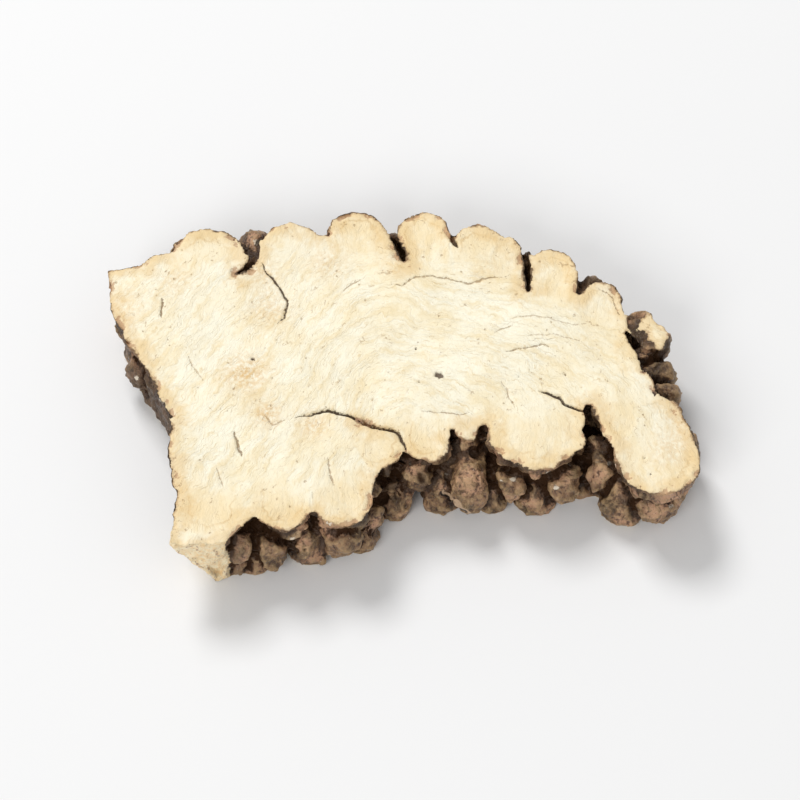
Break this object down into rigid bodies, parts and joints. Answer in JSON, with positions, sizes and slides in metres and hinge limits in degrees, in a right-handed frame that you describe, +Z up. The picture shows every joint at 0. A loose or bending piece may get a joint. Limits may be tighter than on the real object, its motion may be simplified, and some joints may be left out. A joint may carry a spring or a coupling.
{
  "type": "dried rhizome slice",
  "caption": "Thick slice of dried Szechuan lovage rhizome with a pale lobed cut face and a knobbly bark edge.",
  "frame": {"origin": "under the middle of the slice's bounding box, on the surface it rests on", "axes": "+X along the slice's length, +Y across its face towards the row of rounded lobes, +Z up out of the upper cut face"},
  "size_m": [0.0564, 0.0366, 0.0079],
  "materials": {
    "dried_flesh": "matt, fibrous, with dark brown bark round the edge"
  },
  "bodies": {
    "root": {"rhizome_slice": "dried_flesh"}
  },
  "joints": []
}
